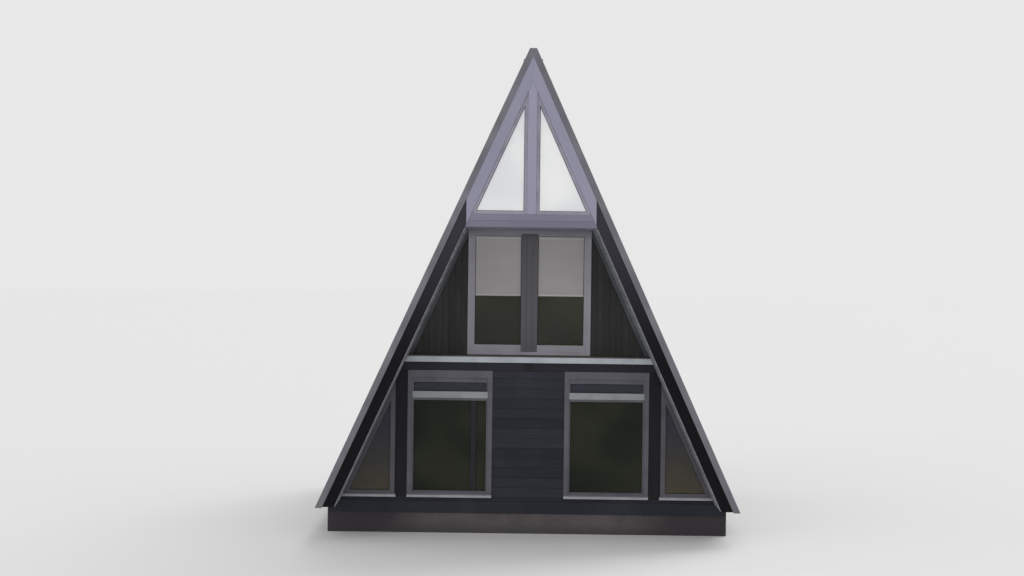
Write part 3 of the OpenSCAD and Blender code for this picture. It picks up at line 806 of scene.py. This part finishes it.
beamPiece = layBoards(
    "loft_beam_boards", (0, gableFace, 0),
    zones=[{"area": (-underRoof(beamLow.z), underRoof(beamLow.z), beamLow.z, beamHigh.z),
            "cuts": slopeCuts(2 * clear)}],
    width=(beamHigh.z - beamLow.z) / beamBoarding["rows"], **front, **gableBoarding)
addTo(beamPiece, beamBoards, "grey_boards")
stripHalf = underRoof(beamLow.z, 2 * clear)
strip = makeBox(
    "beam_drip_strip", (-stripHalf, gableFace - beamBoarding["stripOut"], beamLow.z - beamBoarding["strip"]),
    (stripHalf, gableFace + beamBoarding["stripBack"], beamLow.z - seat), beamBoarding["stripEdge"])
addTo(strip, leafPaint, "dark_trim")
print("gable boarded")

# Soffits: boards that run level along the roof's underside, and boards under the loft floor
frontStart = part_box("front_right_verge_board")[1].y + clear
backStart = backFace + soffit["backRoom"]
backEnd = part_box("back_right_verge_board")[0].y - clear
toEave, toDeck, toLoft = [(innerApex - z) / leanCos for z in (eaveZ, deckZ, loftLow.z)]
deckEnd = toDeck - soffit["deckGap"]
eaveEnd = toEave - soffit["eaveGap"]
soffitParts = []
for side in (1, -1):
    facing = (-side * leanCos, 0, -lean * leanCos)
    zones = []
    for y0, y1, v0, v1 in (
            (frontStart, cornerLow.y - clear, deckEnd, eaveEnd),
            (frontStart, doorStop, toLoft + soffit["thick"], deckEnd - soffit["gap"]),
            (backStart, backEnd, soffit["ridgeGap"], eaveEnd)):
        zones.append({"area": (*sorted((side * y0, side * y1)), v0, v1),
                      "cuts": [(Vector((side * clear, 0, 0)), Vector((-side, 0, 0)))]})
    soffitParts.append(layBoards("slope_soffit", (0, 0, innerApex), (0, side, 0), facing, zones,
                                 width=soffit["row"], **boardSize(soffit)))
addTo(join(soffitParts, "soffit_boards"), soffitBoards, "roof_slab")
loftSoffit = layBoards(
    "loft_soffit_boards", (0, 0, loftLow.z), (1, 0, 0), (0, 0, -1),
    [{"area": (-underRoof(loftLow.z), underRoof(loftLow.z), -doorStop,
               -gableFace - beamBoarding["stripBack"] - clear),
      "cuts": slopeCuts(soffit["thick"] + clear)}],
    width=soffit["row"], **boardSize(soffit))
addTo(loftSoffit, greyBoards, "grey_boards")
print("soffits lined")

# Back: level boards round the openings, casings, sills, and a boarded door
backBoarding = {"row": 0.18, "thick": 0.019, "edge": 0.004, "lap": 0.046, "casing": 0.08, "proud": 0.03}

lap = backBoarding["lap"]
lowWindows = boxesOf("back_lower_windows")
lowWindow = lowWindows[-1]
pair, *loftBoxes = boxesOf("back_upper_windows")
loftWindow = loftBoxes[-1]
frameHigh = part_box("entrance_frame")[1]
doorSide, doorTop = frameHigh.x + clear, frameHigh.z + clear
sill, head = lowWindow[0].z - lap, lowWindow[1].z + lap
pairSill, pairHead = pair[0].z - lap, pair[1].z + lap
loftSill, loftTop = loftWindow[0].z - clear, loftWindow[1].z + clear
loftSide = loftWindow[0].x - clear
loftInset = (underRoof(loftWindow[0].z) - loftWindow[1].x) * leanCos - clear
wide = underRoof(0)
zones = [
    {"area": (-doorSide, doorSide, doorTop, head)},
    {"area": (-wide, wide, head, pairSill), "cuts": trimmed},
    {"area": (-wide, wide, pairHead, loftSill), "cuts": trimmed},
    {"area": (-loftSide, loftSide, loftSill, loftTop)},
    {"area": (-wide, wide, loftTop, innerApex), "cuts": trimmed},
]
for side in (1, -1):
    band = (Vector((side * underRoof(0, loftInset), 0, 0)), Vector((-side * leanCos, 0, -lean * leanCos)))
    for x0, x1, z0, z1, cuts in (
            (doorSide, wide, eaveZ + clear, sill, trimmed),
            (doorSide, lowWindow[0].x - lap, sill, head, []),
            (lowWindow[1].x + lap, wide, sill, head, trimmed),
            (pair[1].x + lap, wide, pairSill, pairHead, trimmed),
            (loftSide, wide, loftSill, loftTop, [*trimmed, band])):
        zones.append({"area": (*sorted((side * x0, side * x1)), z0, z1), "cuts": cuts})
for zone in zones:
    zone["start"] = eaveZ
backPiece = layBoards(
    "back_boards", (0, backFace, 0), (-1, 0, 0), (0, 1, 0), zones,
    width=backBoarding["row"], **boardSize(backBoarding))
addTo(backPiece, darkBoards, "dark_boards")
print("back boarded")

# Casings round the back windows, and a sill that falls outwards below each
backSill = {"out": 0.075, "under": 0.046, "over": 0.012, "side": 0.015, "fall": 0.01, "edge": 0.003}

backTrim = []
reach = Vector((lap - clear, 0, lap - clear))
for low, high in [*lowWindows, pair]:
    ring = makeRing("back_casing", low - reach, high + reach,
                    backBoarding["casing"], backBoarding["proud"], backSill["edge"])
    top = low.z - backSill["over"]
    heel = backFace + backBoarding["proud"] + 2 * seat
    lip = backFace + backSill["out"]
    nose = makeBox(
        "back_sill", (low.x - lap - backSill["side"], heel, low.z - backSill["under"]),
        (high.x + lap + backSill["side"], lip, top))
    pick(nose, "edges", lambda ends: all(co.y > lip - near and co.z > top - near for co in ends))
    bpy.ops.transform.translate(value=(0, 0, -backSill["fall"]))
    leaveEdit()
    ease(nose, backSill["edge"])
    backTrim += [ring, nose]
addTo(join(backTrim, "back_window_casings"), framePaint, "frame_paint")

# Entrance door: upright boards, a kick plate and a rose behind the lever
doorParts = {"boards": 8, "thick": 0.01, "gap": 0.004, "edge": 0.003, "margin": 0.002, "deep": 0.008}
kickPlate = {"half": 0.39, "high": 0.2, "up": 0.02, "thick": 0.0015, "edge": 0.0006}
lever = {"in": 0.07, "up": 1.05, "rose": 0.026, "roseThick": 0.007, "key": 0.016, "keyThick": 0.005,
         "keyDrop": 0.085, "sides": 40, "edge": 0.002}

leafLow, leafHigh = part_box("entrance_door")
leafFace = backFace - doorParts["deep"]
leafHalf = leafHigh.x - doorParts["margin"]
leafBoards = layBoards(
    "entrance_door_boards", (0, leafFace, 0), (0, 0, 1), (0, 1, 0),
    [{"area": (leafLow.z + doorParts["margin"], leafHigh.z - doorParts["margin"], -leafHalf, leafHalf)}],
    width=2 * leafHalf / doorParts["boards"], gap=doorParts["gap"], **boardSize(doorParts))
addTo(leafBoards, doorBoards, "door_leaf")
boardFace = leafFace + doorParts["thick"] + 2 * seat
plateZ = leafLow.z + kickPlate["up"]
doorFittings = [makeBox(
    "plate", (-kickPlate["half"], boardFace, plateZ),
    (kickPlate["half"], boardFace + kickPlate["thick"], plateZ + kickPlate["high"]), kickPlate["edge"])]
leverX, leverZ = leafLow.x + lever["in"], eaveZ + lever["up"]
for radius, thick, z in (
        (lever["rose"], lever["roseThick"], leverZ),
        (lever["key"], lever["keyThick"], leverZ - lever["keyDrop"])):
    bpy.ops.mesh.primitive_cylinder_add(
        vertices=lever["sides"], radius=radius, depth=thick, rotation=(math.pi / 2, 0, 0),
        location=(leverX, boardFace + thick / 2, z))
    disc = bpy.context.active_object
    applyPlace(disc)
    ease(disc, lever["edge"], 3)
    doorFittings.append(disc)
addTo(join(doorFittings, "entrance_door_fittings"), steel, "trim_metal")
print("back joinery trimmed")

# Rubber gaskets round the lights, on the outside of the panes
gasket = {"wide": 0.009, "thick": 0.004, "edge": 0.001}


def makeGaskets(name, node, outward):
    rings = []
    for pane in splitNode(node):
        low, high = corners(pane)
        face = low.y if outward < 0 else high.y
        pick(pane, "polygons", lambda ends: any(abs(co.y - face) > near for co in ends))
        bpy.ops.mesh.delete(type="FACE")
        bpy.ops.mesh.select_all(action="SELECT")
        bpy.ops.mesh.dissolve_limited(angle_limit=0.01)
        bpy.ops.mesh.select_all(action="SELECT")
        bpy.ops.mesh.inset(thickness=pocket)
        bpy.ops.mesh.select_all(action="INVERT")
        bpy.ops.mesh.delete(type="FACE")
        if (low, high) == (paneLow, paneHigh):  # the stile parts this light in two
            for x in stileX:
                bpy.ops.mesh.select_all(action="SELECT")
                bpy.ops.mesh.bisect(plane_co=(x, 0, 0), plane_no=(1, 0, 0))
            leaveEdit()
            pick(pane, "polygons", lambda ends: all(
                stileX[0] - near < co.x < stileX[1] + near for co in ends))
            bpy.ops.mesh.delete(type="FACE")
        bpy.ops.mesh.select_all(action="SELECT")
        bpy.ops.mesh.inset(thickness=gasket["wide"])
        bpy.ops.mesh.delete(type="FACE")
        leaveEdit()
        pane.location.y = outward * seat
        rings.append(thicken(pane, gasket["thick"], gasket["edge"]))
    addTo(join(rings, name), gasketRubber, "dark_trim")


makeGaskets("front_gaskets", "front_glass", -1)
makeGaskets("balcony_gaskets", "balcony_glass", -1)
makeGaskets("loft_gaskets", "loft_glass", -1)
makeGaskets("back_gaskets", "back_glass", 1)
print("gaskets made")

# Screw heads along the ridge cap and up the verge flanges
screws = {"radius": 0.007, "height": 0.005, "sides": 8, "edge": 0.0015, "capZ": 8.55, "capIn": 0.2,
          "capStep": 0.4, "vergeIn": 0.09, "vergeFoot": 0.15, "vergeStep": 0.45, "vergeRun": 7.8,
          "roofDeep": 0.2902, "sheet": 0.006}

bpy.ops.mesh.primitive_cylinder_add(
    vertices=screws["sides"], radius=screws["radius"], depth=screws["height"])
screw = bpy.context.active_object
pick(screw, "edges", lambda ends: all(co.z > 0 for co in ends))
bpy.ops.mesh.bevel(offset=screws["edge"], segments=2)
leaveEdit()
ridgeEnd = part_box("ridge_cap")[1].y
vergeY = ridgeEnd - screws["vergeIn"]
capEnd = ridgeEnd - screws["capIn"]
capCount = round(2 * capEnd / screws["capStep"])
places = [(-capEnd + 2 * capEnd * i / capCount, screws["capZ"]) for i in range(capCount + 1)]
rise = screws["vergeStep"] * leanCos
for y in (vergeY, -vergeY):
    for i in range(int(screws["vergeRun"] / rise)):
        places.append((y, eaveZ + screws["vergeFoot"] + rise * i))
headUp = screws["roofDeep"] + screws["sheet"] + screws["height"] / 2 + seat
heads = []
for side in (1, -1):
    turn = Vector((side * leanCos, 0, lean * leanCos)).to_track_quat("Z", "Y").to_matrix().to_4x4()
    for y, z in places:
        head = bpy.data.objects.new("screw", screw.data.copy())
        bpy.context.collection.objects.link(head)
        head.matrix_world = Matrix.Translation((side * underRoof(z, -headUp), y, z)) @ turn
        heads.append(head)
bpy.data.objects.remove(screw)
addTo(join(heads, "roof_screws"), steel, "trim_metal")
print("roof screws:", len(heads))

# Roller blinds: cloth with faint waves, a cassette above and a bar at its foot
blind = {"depth": 0.052, "cassette": 0.06, "caseEdge": 0.005, "bar": 0.036, "barDepth": 0.018,
         "barSide": 0.002, "barEdge": 0.006, "clothIn": 0.018, "margin": 0.006, "cells": (24, 40),
         "wave": 0.004, "waveSize": 0.45, "thick": 0.0009}

cassettes = []
blindParts = []
for low, high in boxesOf("roller_blinds"):
    label = "left" if low.x < 0 else "right"
    cassettes.append(makeBox(
        "case", (low.x, low.y, high.z - blind["cassette"]), (high.x, low.y + blind["depth"], high.z),
        blind["caseEdge"]))
    clothY = low.y + blind["clothIn"]
    bar = makeBox(
        label + "_blind_bar", (low.x + blind["barSide"], clothY - blind["barDepth"] / 2, low.z),
        (high.x - blind["barSide"], clothY + blind["barDepth"] / 2, low.z + blind["bar"]),
        blind["barEdge"], 3)
    x0, x1 = low.x + blind["margin"], high.x - blind["margin"]
    z0, z1 = low.z + blind["bar"] + seat, high.z - blind["cassette"] - seat
    bpy.ops.mesh.primitive_grid_add(
        x_subdivisions=blind["cells"][0], y_subdivisions=blind["cells"][1], size=1,
        rotation=(math.pi / 2, 0, 0), location=((x0 + x1) / 2, clothY, (z0 + z1) / 2))
    cloth = bpy.context.active_object
    cloth.name = label + "_blind_cloth"
    cloth.scale = (x1 - x0, z1 - z0, 1)
    applyPlace(cloth)
    waves = bpy.data.textures.new("blind waves", "CLOUDS")
    waves.noise_scale = blind["waveSize"]
    applyModifier(cloth, "DISPLACE", texture=waves, strength=blind["wave"], direction="Y",
                  texture_coords="GLOBAL")
    applyModifier(cloth, "SOLIDIFY", thickness=blind["thick"], offset=0)
    only(cloth)
    bpy.ops.object.shade_smooth_by_angle(angle=0.6)
    blindParts.append((cloth, bar, x1 - x0, z1 - z0))
cassetteRow = join(cassettes, "blind_cassettes")
addTo(cassetteRow, barPaint, "blind_fabric", "roller_blinds")
for cloth, bar, wide, drop in blindParts:
    addTo(bar, barPaint, "blind_fabric", "roller_blinds")
    addTo(cloth, blindCloth, "blind_fabric", "roller_blinds")
print("blinds hung")

# Studio: a pale floor, an even sky, two soft suns and a level one that fills the recess under the roof.
# The level one is kept out of mirror images. Each sun has its strength, softness and turn in degrees
studio = {"floorSize": 600, "floor": 0.87, "sky": 0.57, "backdrop": 0.808}
mainSun = {"strength": 0.42, "soft": 50, "turn": (62, 0, -26)}
frontFill = {"strength": 0.78, "soft": 6, "turn": (87, 0, 0)}
backSun = {"strength": 1.25, "soft": 40, "turn": (50, 0, 150)}


def grey(level):
    return (level, level, level, 1)


bpy.ops.mesh.primitive_plane_add(size=studio["floorSize"], location=(0, 0, 0))
floor = bpy.context.active_object
floor.name = "studio_floor"
floorFinish = Finish("studio floor", Base_Color=grey(studio["floor"]), Roughness=0.9, Specular_IOR_Level=0.1)
floor.data.materials.append(floorFinish.material)

world = bpy.data.worlds.new("studio")
bpy.context.scene.world = world
world.use_nodes = True
sky = Tree(world.node_tree)
light = sky.tree.nodes["Background"]
light.inputs["Color"].default_value = grey(studio["sky"])
backdrop = sky.node("ShaderNodeBackground", {}, {"Color": grey(studio["backdrop"])})
rays = ("Is Camera Ray", "Is Glossy Ray", "Is Transmission Ray")
isCamera, isGlossy, isThrough = [sky.node("ShaderNodeLightPath", output=ray) for ray in rays]
shown = sky.node("ShaderNodeMixShader", {}, {
    0: isCamera + isGlossy + isThrough, 1: Wire(sky, light.outputs[0]), 2: backdrop})
sky.plug(sky.tree.nodes["World Output"].inputs[0], shown)


def addSun(name, settings, mirrored=True):
    sun = bpy.data.lights.new(name, "SUN")
    sun.energy = settings["strength"]
    sun.angle = math.radians(settings["soft"])
    lamp = bpy.data.objects.new(name, sun)
    lamp.rotation_euler = [math.radians(angle) for angle in settings["turn"]]
    lamp.visible_glossy = mirrored
    bpy.context.collection.objects.link(lamp)


addSun("main_sun", mainSun)
addSun("front_fill", frontFill, mirrored=False)
addSun("back_sun", backSun)
print("studio lit")
